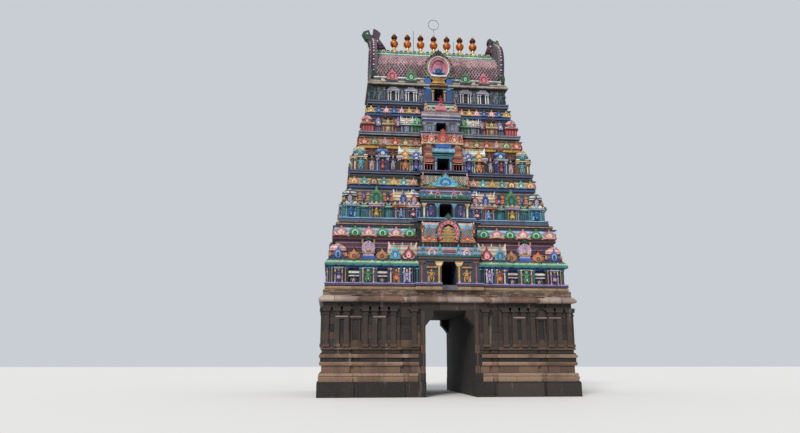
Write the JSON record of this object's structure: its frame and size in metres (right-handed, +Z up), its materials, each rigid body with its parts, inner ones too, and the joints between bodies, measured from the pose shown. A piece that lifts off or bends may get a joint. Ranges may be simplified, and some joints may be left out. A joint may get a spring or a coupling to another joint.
{
  "type": "temple gateway tower",
  "caption": "Granite temple gateway that carries painted stucco storeys with porches and rows of small shrines, a barrel roof with horned gables and gilded finials.",
  "frame": {"origin": "middle of the footprint, on the ground", "axes": "+Z up, +X to the right as seen from the street, +Y into the gateway"},
  "size_m": [12.7, 8.3, 21.786],
  "materials": {
    "granite": "matte",
    "brick_course": "matte",
    "painted_stucco": "matte",
    "blue_stucco": "matte",
    "vault_stucco": "matte",
    "gilded_copper": "satin",
    "steel_wire": "satin"
  },
  "bodies": {
    "root": {"base_pier_left": "granite", "base_pier_right": "granite", "gate_ceiling": "granite", "stone_cornice": "granite", "brick_course": "brick_course", "tier1_floor": "blue_stucco", "tier1_wall_left": "painted_stucco", "tier1_wall_right": "painted_stucco", "tier1_front_bay": "painted_stucco", "tier1_back_bay": "painted_stucco", "tier1_shrine_row": "painted_stucco", "tier2_floor": "blue_stucco", "tier2_wall_left": "painted_stucco", "tier2_wall_right": "painted_stucco", "tier2_front_bay": "painted_stucco", "tier2_back_bay": "painted_stucco", "tier2_shrine_row": "painted_stucco", "tier3_floor": "blue_stucco", "tier3_wall_left": "painted_stucco", "tier3_wall_right": "painted_stucco", "tier3_front_bay": "painted_stucco", "tier3_back_bay": "painted_stucco", "tier3_shrine_row": "painted_stucco", "tier4_floor": "blue_stucco", "tier4_wall_left": "painted_stucco", "tier4_wall_right": "painted_stucco", "tier4_front_bay": "painted_stucco", "tier4_back_bay": "painted_stucco", "tier4_shrine_row": "painted_stucco", "tier5_floor": "blue_stucco", "tier5_wall_left": "painted_stucco", "tier5_wall_right": "painted_stucco", "tier5_front_bay": "painted_stucco", "tier5_back_bay": "painted_stucco", "tier5_eave": "painted_stucco", "vault": "vault_stucco", "nasi_front": "painted_stucco", "nasi_back": "painted_stucco", "ridge": "painted_stucco", "gable_left": "painted_stucco", "gable_right": "painted_stucco", "finial_1": "gilded_copper", "finial_2": "gilded_copper", "finial_3": "gilded_copper", "finial_4": "gilded_copper", "finial_5": "gilded_copper", "finial_6": "gilded_copper", "finial_7": "gilded_copper", "lightning_ring": "steel_wire", "rod_1": "steel_wire", "rod_2": "steel_wire"}
  },
  "joints": []
}
